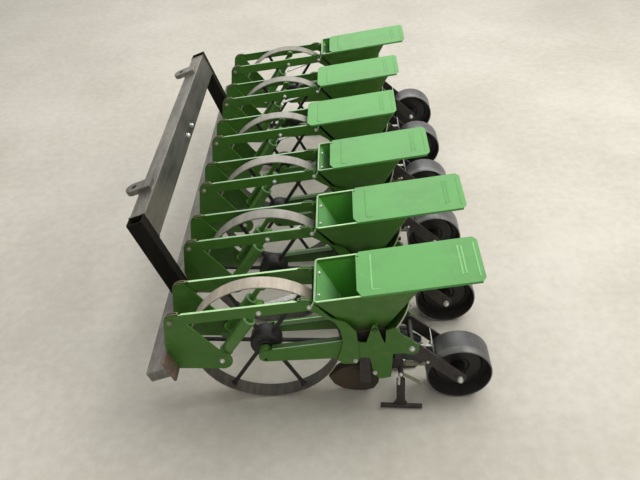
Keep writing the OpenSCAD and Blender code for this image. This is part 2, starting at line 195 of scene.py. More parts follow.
# %% A material with one way to add a node
class Finish:
    """A material whose nodes are added one at a time around a Principled BSDF."""

    def __init__(self, name):
        self.material = bpy.data.materials.new(name)
        self.material.use_nodes = True
        self.tree = self.material.node_tree
        self.shader = self.tree.nodes["Principled BSDF"]
        self.place = self.add("ShaderNodeTexCoord", "Object")
        self.normal = None

    def feed(self, socket, value):
        if isinstance(value, Signal):
            self.tree.links.new(value.socket, socket)
        elif isinstance(value, tuple) and len(value) == 3 and socket.type == "RGBA":
            socket.default_value = (*value, 1.0)
        else:
            socket.default_value = value

    def add(self, kind, out=0, settings=None, sockets=None):
        node = self.tree.nodes.new(kind)
        for key, value in (settings or {}).items():
            setattr(node, key, value)
        for key, value in (sockets or {}).items():
            self.feed(node.inputs[key], value)
        return Signal(self, node.outputs[out])

    def noise(self, scale, detail=3.0, rough=0.55, stretch=None, seed=0.0):
        """Cloudy noise on the piece's own coordinates, in lumps of about 1 / scale metres."""
        where = self.place
        if stretch is not None or seed:
            sockets = {"Vector": where, "Scale": stretch or (1, 1, 1), "Location": (seed, seed, seed)}
            where = self.add("ShaderNodeMapping", 0, {}, sockets)
        sockets = {"Vector": where, "Scale": scale, "Detail": detail, "Roughness": rough}
        return self.add("ShaderNodeTexNoise", 0, {}, sockets)

    def mix(self, share, first, second):
        """A colour between two others."""
        settings = {"data_type": "RGBA", "clamp_factor": True}
        return self.add("ShaderNodeMix", 2, settings, {0: share, 6: first, 7: second})

    def edges(self, radius=0.004):
        """1 along outer and inner edges, 0 on open faces."""
        soft = self.add("ShaderNodeBevel", 0, {"samples": 4}, {"Radius": radius})
        flat = self.add("ShaderNodeNewGeometry", "Normal")
        same = self.add("ShaderNodeVectorMath", "Value", {"operation": "DOT_PRODUCT"}, {0: soft, 1: flat})
        return (1 - same).ramp(0.02, 0.22)

    def along(self, axis, low, high):
        """0 at low and 1 at high along one axis of the machine, in metres."""
        return self.add("ShaderNodeSeparateXYZ", axis, {}, {"Vector": self.place}).ramp(low, high)

    def bumps(self, height, distance, strength=1.0):
        sockets = {"Height": height, "Distance": distance, "Strength": strength}
        if self.normal is not None:
            sockets["Normal"] = self.normal
        self.normal = self.add("ShaderNodeBump", 0, {}, sockets)

    def finish(self, **sockets):
        names = {"color": "Base Color", "rough": "Roughness", "metal": "Metallic",
                 "shine": "Specular IOR Level"}
        for key, value in sockets.items():
            self.feed(self.shader.inputs[names[key]], value)
        if self.normal is not None:
            self.feed(self.shader.inputs["Normal"], self.normal)
        return self.material


def srgb(red, green, blue):
    """A colour as a picture shows it, made linear."""
    def linear(part):
        part = part / 255
        return part / 12.92 if part <= 0.04045 else ((part + 0.055) / 1.055) ** 2.4
    return tuple(linear(part) for part in (red, green, blue))


# %% [markdown]
# ## Green paint
# The rows are sprayed in a satin green over steel sheet. The paint is chipped
# along its edges, down to brown steel, with a film of pale dust that lies in
# soft clouds. The bevel of the surface finds the edges, and noise breaks them.

# %% Paint
# A dark brown that some paint turns to below a given height
LOW_DARK_TONE = srgb(42, 38, 22)


def paint(name, colour, dust, chip, wear=0.5, rough=0.36, dark_below=None):
    """Chipped and dusty paint; the last argument gives two heights, and the paint darkens from the first
    towards the second.
    """
    coat = Finish(name)
    colour, dust, chip = srgb(*colour), srgb(*dust), srgb(*chip)
    clouds = coat.noise(5.0, 4.0)
    grime = coat.noise(26.0, 5.0, 0.6, seed=3.0)
    fine = coat.noise(190.0, 3.0, 0.6, seed=7.0)
    chips = (coat.edges() * 0.62 + fine * 0.5 + grime * 0.25).ramp(1.02 - 0.18 * wear, 1.10 - 0.18 * wear)
    specks = (coat.noise(70.0, 2.0, 0.5, seed=11.0) * 0.7 + grime * 0.45).ramp(0.79 - 0.04 * wear, 0.82)
    bare = (chips + specks * 0.7).limited()
    deep = tuple(part * 0.80 for part in colour)
    base = coat.mix(clouds.ramp(0.35, 0.68), colour, deep)
    base = coat.mix((clouds * 0.4 + grime * 0.6).ramp(0.46, 0.78) * 0.34, base, dust)
    base = coat.mix(bare, base, chip)
    if dark_below:
        base = coat.mix(coat.along("Z", *dark_below) * 0.62, base, LOW_DARK_TONE)
    coat.bumps(1 - bare, 0.0004, 0.5)
    coat.bumps(coat.noise(420.0, 2.0), 0.00015, 0.25)
    return coat.finish(color=base, rough=rough + grime * 0.16 + bare * 0.3)


def plain_paint(name, colour, rough):
    """Paint without chips, for small raised lines."""
    coat = Finish(name)
    colour = srgb(*colour)
    clouds = coat.noise(30.0, 3.0)
    deep = tuple(part * 0.88 for part in colour)
    return coat.finish(color=coat.mix(clouds.ramp(0.35, 0.65), colour, deep), rough=rough + clouds * 0.1)


GREEN = paint("green_paint", (60, 111, 28), (124, 148, 92), (72, 58, 44))
# The hoppers' paint darkens towards the bottom of the funnel
HOPPER_GREEN = paint("hopper_paint", (60, 111, 28), (124, 148, 92), (72, 58, 44), dark_below=(0.395, 0.322))
STRUT_GREEN = paint("strut_paint", (74, 124, 42), (140, 170, 112), (84, 70, 50), 0.4, 0.26)
# A darker, more chipped copy of the green: painted shade on the low cross members, also used for the painted
# bolts on the lugs under the hoppers
SHADED_GREEN = paint("shaded_paint", (50, 88, 30), (92, 96, 66), (64, 50, 38), 0.7, 0.5)
CLIP_GREEN = paint("clip_paint", (92, 96, 62), (120, 112, 84), (84, 66, 46), 0.8, 0.5)
# The lids' light green is partly their own paint and partly painted light from overhead
LID_PAINT_AND_LIGHT = paint("lid_paint", (78, 154, 67), (132, 182, 114), (64, 98, 48), 0.3, 0.43)
# Lighter copies of the green: painted light on the hoppers' inner walls that face up, lightest on the front
# wall
INNER_LIT_GREEN = paint("inner_lit_paint", (72, 148, 46), (112, 168, 88), (56, 88, 38), 0.3, 0.34)
FRONT_LIT_GREEN = paint("inner_front_lit_paint", (115, 178, 108), (150, 196, 136), (80, 112, 64), 0.3, 0.34)
# A pale green for the first lid's creases: a painted highlight
CREASE_HIGHLIGHT = plain_paint("crease_highlight", (114, 184, 103), 0.3)
# Near-white green: a painted highlight on the links' and rails' bends, the near hoppers' rims and the straps
# under the rims; dimmer for the far rows
HIGHLIGHT_GREEN = plain_paint("highlight_paint", (178, 224, 160), 0.28)
FAR_HIGHLIGHT_GREEN = plain_paint("far_highlight_paint", (132, 173, 124), 0.34)
# A dimmer painted highlight, for the front of the hoppers' rims and the end rings of the struts' collars
DIM_HIGHLIGHT_GREEN = plain_paint("dim_highlight_paint", (124, 170, 110), 0.34)
# Near-white beads along the curved sheets' edges: a painted highlight
PALE_HIGHLIGHT = plain_paint("pale_highlight", (206, 208, 186), 0.34)
print("paints:", len(bpy.data.materials))

# %% [markdown]
# ## Bare and rusty steel
# The toolbar and the hitch are old steel: grey where hands and chains rub it,
# brown where it rusted, with streaks along its length.

# %% Steel finishes
# How noise is scaled along X, Y and Z, which draws the streaks out where the scale is small
ACROSS_ROWS, THIN_ACROSS, WIDE_ACROSS = (1, 0.12, 1), (1, 0.1, 1), (1, 0.2, 1)
LENGTHWISE, UPWARDS, EVEN = (0.3, 1, 1), (1, 1, 0.12), (1, 1, 1)
# A paler steel that the crossbar's rear face lightens to towards its near end
PALE_STEEL_TONE = srgb(156, 148, 132)


def weathered(name, light, dark, rust, rust_share, metal, rough, streak=ACROSS_ROWS, shine=0.5, pale=None):
    """Streaked steel with rust spots; pale gives two places along Y between which it brightens."""
    steel = Finish(name)
    light, dark, rust = srgb(*light), srgb(*dark), srgb(*rust)
    clouds = steel.noise(4.0, 5.0, 0.6)
    streaks = steel.noise(42.0, 4.0, 0.65, stretch=streak)
    grain = steel.noise(260.0, 3.0, 0.6, seed=5.0)
    spots = steel.noise(34.0, 5.0, 0.68, seed=9.0)
    tone = (clouds * 0.45 + streaks * 0.4 + grain * 0.15).ramp(0.36, 0.64)
    edge = rust_share * 0.3
    rusty = (spots * 0.6 + clouds * 0.5 + steel.edges() * 0.1).ramp(0.66 - edge, 0.84 - edge)
    base = steel.mix(tone, dark, light)
    base = steel.mix(rusty, base, rust)
    if pale:
        base = steel.mix(steel.along("Y", *pale) * 0.26, base, PALE_STEEL_TONE)
    steel.bumps(grain * 0.6 + spots * 0.4, 0.0006, 0.35)
    rough = rough + rusty * 0.2 - tone * 0.06
    return steel.finish(color=base, rough=rough, metal=metal * (1 - rusty), shine=shine)


STEEL = weathered("bare_steel", (130, 128, 120), (80, 77, 72), (104, 78, 58), 0.25, 0.35, 0.56)
BAR = weathered("rusty_bar", (126, 112, 98), (78, 66, 56), (112, 84, 64), 0.45, 0.15, 0.66)
ARM = weathered("arm_steel", (28, 26, 20), (12, 11, 8), (36, 29, 21), 0.3, 0.0, 0.8, UPWARDS, 0.12)
# A darker copy of the steel: painted shade on the crossbar's rear face
REAR_SHADE = weathered("rear_shade_steel", (92, 91, 86), (48, 47, 44), (74, 62, 50), 0.15, 0.35, 0.5, THIN_ACROSS,
                 pale=(-0.34, -0.54))
DARK = weathered("dark_steel", (62, 58, 54), (34, 31, 29), (70, 50, 38), 0.2, 0.25, 0.5, EVEN)
SHOE = weathered("rusty_shoe", (60, 52, 38), (32, 28, 22), (68, 52, 36), 0.35, 0.1, 0.74, LENGTHWISE)
# Darker steels for the faces that look towards an axle: painted shade inside the press drums and the front
# wheels' bands
DRUM_INSIDE_SHADE = weathered("drum_inside_shade", (58, 55, 51), (30, 28, 26), (66, 52, 42), 0.1, 0.1, 0.62, WIDE_ACROSS)
BAND_INSIDE_SHADE = weathered("band_inside_shade", (96, 91, 82), (62, 58, 51), (84, 70, 56), 0.1, 0.15, 0.6, THIN_ACROSS)
RIM = weathered("worn_rim", (186, 177, 161), (146, 137, 122), (134, 110, 84), 0.1, 0.25, 0.55, THIN_ACROSS)
GREY_RIM = weathered("grey_rim", (148, 145, 136), (118, 115, 106), (120, 104, 84), 0.1, 0.25, 0.58,
                     THIN_ACROSS)
DRUM = weathered("drum_steel", (90, 89, 91), (64, 63, 65), (80, 71, 59), 0.0, 0.3, 0.46, WIDE_ACROSS)
# A lighter steel for a band at the drum's near end: a painted reflection
DRUM_SHEEN = weathered("drum_sheen", (112, 112, 110), (82, 82, 80), (90, 80, 66), 0.0, 0.3, 0.48, WIDE_ACROSS)
BLACK = weathered("black_steel", (42, 40, 38), (22, 21, 20), (56, 44, 36), 0.1, 0.2, 0.5, EVEN)
RUBBER = weathered("blue_black", (36, 42, 46), (18, 22, 26), (44, 44, 42), 0.0, 0.0, 0.42, EVEN)
WELD = weathered("weld_steel", (150, 144, 132), (86, 76, 66), (112, 80, 56), 0.3, 0.4, 0.5, EVEN)
DULL = weathered("dull_steel", (156, 158, 138), (104, 104, 86), (104, 84, 62), 0.15, 0.4, 0.5, EVEN)

# %% [markdown]
# ## Zinc
# Bolts, axles and guard strips are zinc plated: pale, a little mottled, bright
# in the light and dull where fingers and dust left a film.

# %% Zinc plate
def zinc_plate():
    zinc = Finish("zinc_plate")
    cells = zinc.add("ShaderNodeTexVoronoi", "Distance", {}, {"Vector": zinc.place, "Scale": 160.0})
    film = zinc.noise(48.0, 4.0, 0.6)
    tone = (cells * 0.4 + film * 0.6).ramp(0.25, 0.75)
    base = zinc.mix(tone, srgb(168, 168, 163), srgb(222, 222, 216))
    base = zinc.mix(film.ramp(0.62, 0.8) * 0.5, base, srgb(120, 112, 98))
    zinc.bumps(zinc.noise(300.0, 2.0), 0.0002, 0.3)
    return zinc.finish(color=base, metal=0.55, rough=0.30 + film * 0.22)


ZINC = zinc_plate()
print("materials:", len(bpy.data.materials))

# %% [markdown]
# ## From a built shape to a piece
# Every piece ends the same way: its mesh becomes an object at the origin, gets
# its material, rides on a body, and may stand for a node of the pack.


def finish_piece(name, mesh, body, material, node=None, sharp=32.0):
    mesh.name = name
    mesh.materials.clear()
    mesh.materials.append(material)
    if sharp:
        mesh.shade_smooth()
        mesh.set_sharp_from_angle(angle=math.radians(sharp))
    piece = bpy.data.objects.new(name, mesh)
    bpy.context.scene.collection.objects.link(piece)
    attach(piece, body)
    if node:
        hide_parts(node)
    return piece


def relook(piece, material, test):
    """A second material on the faces whose centre and normal pass the test."""
    mesh = piece.data
    mesh.materials.append(material)
    slot = len(mesh.materials) - 1
    for face in mesh.polygons:
        if test(face.center, face.normal):
            face.material_index = slot


def seen_from(point, side_frame):
    """A point's place in a side-view frame of the row that it belongs to."""
    return in_row(row_at(point.y), side_frame).inverted() @ point


def mesh_of(bm):
    mesh = bpy.data.meshes.new("part")
    bm.to_mesh(mesh)
    bm.free()
    return mesh


def settled(holder):
    """The holder's mesh with its modifiers worked in; the holder is removed."""
    graph = bpy.context.evaluated_depsgraph_get()
    mesh = bpy.data.meshes.new_from_object(
        holder.evaluated_get(graph), preserve_all_data_layers=True, depsgraph=graph)
    old = holder.data
    bpy.data.objects.remove(holder)
    bpy.data.meshes.remove(old)
    return mesh


def holder_of(mesh):
    holder = bpy.data.objects.new("holder", mesh)
    bpy.context.scene.collection.objects.link(holder)
    return holder


# %% [markdown]
# ## Plates with real edges
# Cut steel plate has a small round edge that catches the light. A copy of the
# packed plate is merged and its flat triangles dissolved, then the Bevel
# modifier rounds what is sharper than 30 degrees and weighted normals keep the
# broad faces flat. Where one face of a plate looks unlike the rest, it gets a
# second material, chosen by where the face lies or the way that it faces.

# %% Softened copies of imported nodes
FLANGE_IN, FLANGE_OUT, FLANGE_LOW, FLANGE_TOP = 0.0750, 0.0835, 0.018, 0.0251
LINK_FACE = 0.0795


def narrow_flanges(bm):
    """The links' flanges, brought to a width of 9 mm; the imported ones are 20 mm wide."""
    for vert in bm.verts:
        spot = seen_from(vert.co, LINKED)
        if spot.z > FLANGE_LOW and abs(spot.y) < LINK_FACE:
            vert.co.y = ROW_Y[row_at(vert.co.y)] + math.copysign(FLANGE_IN, spot.y)


def softened(node, width, material, body="frame", segments=2):
    bm = bmesh.new()
    bm.from_mesh(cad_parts[node].data)
    bmesh.ops.remove_doubles(bm, verts=bm.verts, dist=2e-6)
    if node == "upper_links":
        narrow_flanges(bm)
    bmesh.ops.dissolve_limit(bm, angle_limit=math.radians(0.5), verts=bm.verts, edges=bm.edges)
    holder = holder_of(mesh_of(bm))
    bevel = holder.modifiers.new("edge", "BEVEL")
    bevel.width = width
    bevel.segments = segments
    bevel.limit_method = "ANGLE"
    bevel.angle_limit = math.radians(30)
    bevel.use_clamp_overlap = False
    weigh = holder.modifiers.new("weigh", "WEIGHTED_NORMAL")
    weigh.keep_sharp = True
    for face in holder.data.polygons:
        face.use_smooth = True
    return finish_piece(node + "_dressed", settled(holder), body, material, node, sharp=0)


# The cross members take the darker green of painted shade
PLATES = (
    ("toolbar_tube", 0.0030, STEEL), ("toolbar_bar", 0.0012, BAR), ("hitch_arms", 0.0040, ARM),
    ("hitch_crossbar", 0.0040, STEEL), ("hitch_tongues", 0.0025, STEEL),
    ("bracket_plates", 0.0010, GREEN), ("upper_links", 0.0008, GREEN), ("uprights", 0.0010, GREEN),
    ("side_rails", 0.0008, GREEN), ("cross_members", 0.0008, SHADED_GREEN), ("front_axles", 0.0010, GREEN),
    ("chain_covers", 0.0006, ZINC), ("meter_housings", 0.0020, DARK), ("furrow_openers", 0.0020, SHOE),
    ("wheel_guards", 0.0006, DARK), ("rear_shields", 0.0006, GREEN), ("covering_blades", 0.0012, DARK),
    ("press_arms", 0.0012, DARK), ("press_axles", 0.0010, ZINC), ("wheel_scrapers", 0.0006, ZINC),
)
dressed = {node: softened(node, width, material) for node, width, material in PLATES}
print("plates:", sum(len(piece.data.polygons) for piece in dressed.values()), "faces")

# %% Second looks on some faces
# Side-view places of the dark rods and ties between a row's arms
TIES = ((0.757, -0.152), (0.721, -0.243), (0.606, -0.300))
TIE_R, TIE_HALF = 0.012, 0.0575
rearward = LEANED.to_3x3() @ Vector((1, 0, 0))


def on_tie(centre, normal):
    spot = seen_from(centre, LEVEL)
    return abs(spot.y) < TIE_HALF and any(math.hypot(spot.x - x, spot.z - z) < TIE_R for x, z in TIES)


def on_lever(centre, normal):
    spot = seen_from(centre, LEVEL)
    return 0.733 < spot.x and -0.300 < spot.z < -0.240 and 0.085 < abs(spot.y) < 0.099


# The crossbar's rear face takes the darker steel, a painted shade
relook(dressed["hitch_crossbar"], REAR_SHADE, lambda centre, normal: normal.dot(rearward) > 0.9)
relook(dressed["press_axles"], DARK, on_tie)
relook(dressed["covering_blades"], DULL, on_lever)
print("plates with a second look:", sum(len(piece.data.materials) > 1 for piece in dressed.values()))

# %% [markdown]
# ## Turned and lofted shapes
# Wheels, struts and hoppers are made from rings: a profile turned about an
# axle, or a rounded rectangle that changes from the rim to the outlet.

# %% Lofts
def loft(bm, rings, closed=False, caps=False):
    """Quads between neighbouring rings, which all have the same number of points."""
    made = [[bm.verts.new(point) for point in ring] for ring in rings]
    pairs = list(zip(made, made[1:]))
    if closed:
        pairs.append((made[-1], made[0]))
    count = len(rings[0])
    for low, high in pairs:
        for k in range(count):
            n = (k + 1) % count
            bm.faces.new((low[k], low[n], high[n], high[k]))
    if caps:
        bm.faces.new(list(reversed(made[0])))
        bm.faces.new(made[-1])


def turned(bm, profile, where, sides, closed=False):
    """A profile of (along, radius) turned about the local Z axis of where."""
    rings = []
    for along, radius in profile:
        angles = [2 * math.pi * k / sides for k in range(sides)]
        ring = [(math.cos(angle) * radius, math.sin(angle) * radius, along) for angle in angles]
        rings.append([where @ Vector(point) for point in ring])
    loft(bm, rings, closed)


def fixed(bm):
    """The shape's mesh, with doubles merged and all faces turned outwards."""
    bmesh.ops.remove_doubles(bm, verts=bm.verts, dist=1e-6)
    bmesh.ops.recalc_face_normals(bm, faces=bm.faces)
    return mesh_of(bm)


def bent_strip(bm, path, thick, y0, y1, where):
    """A strip that follows a path of x and z, its width from y0 to y1."""
    rings = []
    for k, (x, z) in enumerate(path):
        ahead, behind = path[min(k + 1, len(path) - 1)], path[max(k - 1, 0)]
        way = Vector((ahead[0] - behind[0], ahead[1] - behind[1])).normalized() * (thick / 2)
        ring = [(x - way.y, y0, z + way.x), (x - way.y, y1, z + way.x),
                (x + way.y, y1, z - way.x), (x + way.y, y0, z - way.x)]
        rings.append([where @ Vector(point) for point in ring])
    loft(bm, rings, caps=True)


print("ways to make a shape: loft, turned, bent_strip")

# %% [markdown]
# ## Front wheels
# A front wheel is a bent steel band, six round rods and a turned hub. The band
# rolls on the ground, so it is worn to a beige grey; the near wheel's band is
# lighter. The rods and the hub stay black. Its edges are rounded from rolling.

# %% Front wheels
BAND_HALF, BAND_THICK, BAND_ROUND = 0.0275, 0.006, 0.003
FIRST_SPOKE, BETWEEN_SPOKES = -3, 60
SPOKE_ANGLES = [math.radians(FIRST_SPOKE + BETWEEN_SPOKES * k) for k in range(360 // BETWEEN_SPOKES)]


def band_profile():
    """The band's section: a half round edge on each side."""
    profile = []
    mid = FRONT_R - BAND_THICK / 2
    for side, start in ((1, -90), (-1, 90)):
        for k in range(13):
            angle = math.radians(start + 15 * k)
            along = side * (BAND_HALF - BAND_ROUND) + BAND_ROUND * math.cos(angle)
            profile.append((along, mid + BAND_THICK / 2 * math.sin(angle)))
    return profile


def shade_inside(piece, where, material):
    """The faces that look towards the axle take a darker steel: painted shade on the inside of the wheel."""
    middle, axle = where.translation, where.col[2].to_3d()

    def inward(centre, normal):
        out = centre - middle
        out -= axle * out.dot(axle)
        return normal.dot(out.normalized()) < -0.3

    relook(piece, material, inward)


HUB = ((-0.035, 0.0125), (-0.035, 0.024), (-0.034, 0.026), (-0.030, 0.027), (-0.029, 0.047),
       (-0.027, 0.050), (-0.023, 0.052), (0.023, 0.052), (0.027, 0.050), (0.029, 0.047), (0.030, 0.027),
       (0.034, 0.026), (0.035, 0.024), (0.035, 0.0125))
ROD = ((0.046, 0.0), (0.046, 0.010), (0.058, 0.0072), (0.232, 0.0070), (0.239, 0.0078), (0.2445, 0.0105),
       (0.2445, 0.0))


def front_wheel(row):
    body = f"front_wheel_{row + 1}"
    where = in_row(row, place(FRONT_X, FRONT_R)) @ facing(1)
    band = bmesh.new()
    turned(band, band_profile(), where, 128, closed=True)
    # The near wheel's band is lighter than the others
    tread = GREY_RIM if row else RIM
    bands = finish_piece(f"front_band_{row + 1}", fixed(band), body, tread, body, 50)
    shade_inside(bands, where, BAND_INSIDE_SHADE)
    core = bmesh.new()
    turned(core, HUB, where, 64, closed=True)
    for angle in SPOKE_ANGLES:
        arm = in_row(row, place(FRONT_X, FRONT_R, angle)) @ Matrix.Rotation(math.radians(90), 4, "Y")
        turned(core, ROD, arm, 16)
    finish_piece(f"front_spokes_{row + 1}", fixed(core), body, BLACK, sharp=40)


for row in range(ROWS):
    front_wheel(row)
print("front wheels:", ROWS)

# %% [markdown]
# ## Press wheels
# The press wheel is a drum rolled from sheet, with a web and a hub inside. Its
# edges are folded in a little, and a band at its near end is lighter, a painted
# reflection.

# %% Press wheels
DRUM_HALF, SHEEN_FROM = 0.051, 0.024
SHEET = ((-DRUM_HALF, 0.1065), (-DRUM_HALF + 0.0008, 0.1088), (-DRUM_HALF + 0.003, PRESS_R),
         (-SHEEN_FROM, PRESS_R), (DRUM_HALF - 0.003, PRESS_R), (DRUM_HALF - 0.0008, 0.1088),
         (DRUM_HALF, 0.1065), (DRUM_HALF - 0.001, 0.1052), (DRUM_HALF - 0.004, 0.1050),
         (-DRUM_HALF + 0.004, 0.1050), (-DRUM_HALF + 0.001, 0.1052))
WEB = ((-0.003, 0.1052), (-0.003, 0.085), (-0.009, 0.078), (-0.009, 0.040), (-0.004, 0.034), (-0.004, 0.024),
       (-DRUM_HALF, 0.024), (-DRUM_HALF, 0.0105), (DRUM_HALF, 0.0105), (DRUM_HALF, 0.024), (0.004, 0.024),
       (0.004, 0.034), (-0.004, 0.040), (-0.004, 0.078), (0.003, 0.085), (0.003, 0.1052))


def press_wheel(row):
    body = f"press_wheel_{row + 1}"
    where = in_row(row, place(PRESS_X, PRESS_R)) @ facing(1)
    drum = bmesh.new()
    turned(drum, SHEET, where, 96, closed=True)
    skin = finish_piece(f"press_drum_{row + 1}", fixed(drum), body, DRUM, body, 50)
    shade_inside(skin, where, DRUM_INSIDE_SHADE)

    # The lighter band at the near end is a painted reflection
    def on_sheen(centre, normal):
        near = ROW_Y[row] - centre.y
        outward = normal.dot(centre - where.translation) > DRUM_HALF
        return near > SHEEN_FROM and (outward or near > DRUM_HALF - 0.0015)

    relook(skin, DRUM_SHEEN, on_sheen)
    web = bmesh.new()
    turned(web, WEB, where, 64, closed=True)
    finish_piece(f"press_web_{row + 1}", fixed(web), body, BLACK, sharp=35)


for row in range(ROWS):
    press_wheel(row)
print("press wheels:", ROWS)

# %% [markdown]
# ## Hoppers
# A seed hopper is a folded sheet funnel with a rim that is turned outwards and
# down. One loft goes up the inside, over the rim, and down the outside.

# %% Hopper funnels
HOPPER_X, HOPPER_HALF, HOPPER_TOP = (0.206, 0.520), 0.103, 0.226
OUTLET_X, OUTLET_HALF, OUTLET_Z = (0.300, 0.402), 0.040, 0.026
CORNER_R, OUTLET_R, WALL = 0.009, 0.008, 0.003
# How far in from the outline and how far below the top the rim's fold runs, from the inside out
RIM_FOLD = ((0.0030, 0.0015), (0.0022, 0.0003), (0.0008, 0.0), (-0.0028, 0.0), (-0.0038, 0.0006),
            (-0.0042, 0.0018), (-0.0042, 0.0085), (-0.0036, 0.0095), (-0.0026, 0.0095), (-0.0022, 0.0030),
            (-0.0008, 0.0030), (0.0, 0.0045), (0.0, 0.012))


def rounded_ring(x_span, half, radius, z, where, inset=0.0, corner=8):
    """Points of a rounded rectangle at height z, its outline moved in by inset."""
    low, high = x_span[0] + inset, x_span[1] - inset
    wide = half - inset
    radius = max(radius - inset, 0.001)
    centres = ((high - radius, wide - radius, 0), (low + radius, wide - radius, 90),
               (low + radius, radius - wide, 180), (high - radius, radius - wide, 270))
    ring = []
    for x, y, start in centres:
        for k in range(corner + 1):
            angle = math.radians(start + 90 * k / corner)
            ring.append(where @ Vector((x + radius * math.cos(angle), y + radius * math.sin(angle), z)))
    return ring


def hopper(row):
    where = in_row(row, TILTED)
    low = HOPPER_TOP - RIM_FOLD[-1][1]
    rings = [rounded_ring(OUTLET_X, OUTLET_HALF, OUTLET_R, OUTLET_Z, where, WALL),
             rounded_ring(HOPPER_X, HOPPER_HALF, CORNER_R, low, where, WALL)]
    for inset, drop in RIM_FOLD:
        rings.append(rounded_ring(HOPPER_X, HOPPER_HALF, CORNER_R, HOPPER_TOP - drop, where, inset))
    rings.append(rounded_ring(OUTLET_X, OUTLET_HALF, OUTLET_R, OUTLET_Z, where))
    bm = bmesh.new()
    loft(bm, rings, closed=True)
    for side in (-1, 1):
        boss = where @ Matrix.Translation((0.366, side * 0.0488, 0.052)) @ facing(side)
        turned(bm, [(0.0, 0.0), (0.0, 0.009), (0.0170, 0.009), (0.0170, 0.0)], boss, 24)
    name = f"hopper_{row + 1}"
    funnel = finish_piece(name + "_dressed", fixed(bm), "frame", HOPPER_GREEN, name, 28)
    rise, rear = where.to_3x3() @ Vector((0, 0, 1)), where.to_3x3() @ Vector((1, 0, 0))
    rim_top = (where @ Vector((0, 0, HOPPER_TOP))).dot(rise)
    rim_front = (where @ Vector((HOPPER_X[0] + 0.006, 0, 0))).dot(rear)

    def inside(centre, normal):
        return normal.dot(rise) > 0.1 and centre.dot(rise) < rim_top - 0.010

    def on_rim(centre, normal):
        return centre.dot(rise) > rim_top - 0.0022

    # Painted light inside the funnel, lightest on the front wall
    relook(funnel, INNER_LIT_GREEN, inside)
    relook(funnel, FRONT_LIT_GREEN, lambda centre, normal: inside(centre, normal) and normal.dot(rear) > 0.7)
    # Painted highlights along the rim's top, dimmer on the far rows and at the rim's front
    relook(funnel, HIGHLIGHT_GREEN if row < 2 else FAR_HIGHLIGHT_GREEN, on_rim)
    relook(funnel, DIM_HIGHLIGHT_GREEN, lambda centre, normal: on_rim(centre, normal) and centre.dot(rear) < rim_front)


for row in range(ROWS):
    hopper(row)
print("hoppers:", ROWS)

# %% [markdown]
# ## Spring struts
# Each row hangs on two struts. A strut is a tube over a rod, with a collar at
# each end of the tube, and each end of the rod is an eye on a bolt.

# %% Struts
STRUT_Y, STRUT_FOOT, STRUT_HEAD = 0.0515, Vector((0.140, 0, -0.178)), Vector((0.282, 0, 0.0308))
STRUT_WAY = STRUT_HEAD - STRUT_FOOT
STRUT_LONG = STRUT_WAY.length
STRUT = ((0.0, 0.0), (0.0, 0.009), (0.0215, 0.009), (0.022, 0.0203), (0.0235, 0.0220), (0.0305, 0.0220),
         (0.032, 0.0205), (0.0325, 0.0200), (0.1755, 0.0200), (0.176, 0.0208), (0.1775, 0.0222),
         (0.1845, 0.0222), (0.186, 0.0208), (0.1862, 0.0150), (0.1835, 0.0140), (0.1835, 0.009),
         (STRUT_LONG, 0.009), (STRUT_LONG, 0.0))
EYE_R, EYE_IN, EYES = 0.015, 0.037, ((STRUT_FOOT, 0.074), (STRUT_HEAD, 0.080))


def on_ring(centre, normal):
    """The end faces of a strut's two collars."""
    spot = seen_from(centre, LEVEL)
    arm = Vector((spot.x, 0, spot.z)) - STRUT_FOOT
    reach = arm.dot(STRUT_WAY) / STRUT_LONG
    out = Vector((arm.x, abs(spot.y) - STRUT_Y, arm.z)) - STRUT_WAY * (reach / STRUT_LONG)
    return out.length > 0.0145 and (0.0215 < reach < 0.0240 or 0.1845 < reach < 0.1865)


def struts():
    lean = Matrix.Rotation(math.pi / 2 - math.atan2(STRUT_WAY.z, STRUT_WAY.x), 4, "Y")
    bm = bmesh.new()
    for row in range(ROWS):
        for side in (-1, 1):
            foot = Matrix.Translation((STRUT_FOOT.x, side * STRUT_Y, STRUT_FOOT.z))
            turned(bm, STRUT, in_row(row, LEVEL) @ foot @ lean, 40)
            for eye, outer in EYES:
                wide = outer - EYE_IN
                ring = [(0.0, 0.0), (0.0, EYE_R - 0.0015), (0.0015, EYE_R), (wide - 0.0015, EYE_R),
                        (wide, EYE_R - 0.0015), (wide, 0.0)]
                spot = Matrix.Translation((eye.x, side * EYE_IN, eye.z))
                turned(bm, ring, in_row(row, LEVEL) @ spot @ facing(side), 32)
    piece = finish_piece("spring_struts_dressed", fixed(bm), "frame", STRUT_GREEN, "spring_struts", 35)
    # Painted highlights on the collars' end rings
    relook(piece, DIM_HIGHLIGHT_GREEN, on_ring)


struts()
print("struts:", 2 * ROWS)

# %% [markdown]
# ## Lids
# A lid is a pressed sheet: its long sides are folded down over the hopper's
# rim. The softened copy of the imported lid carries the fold, and the pressed
# creases are half-round beads that Geometry Nodes sweep along a drawn path.

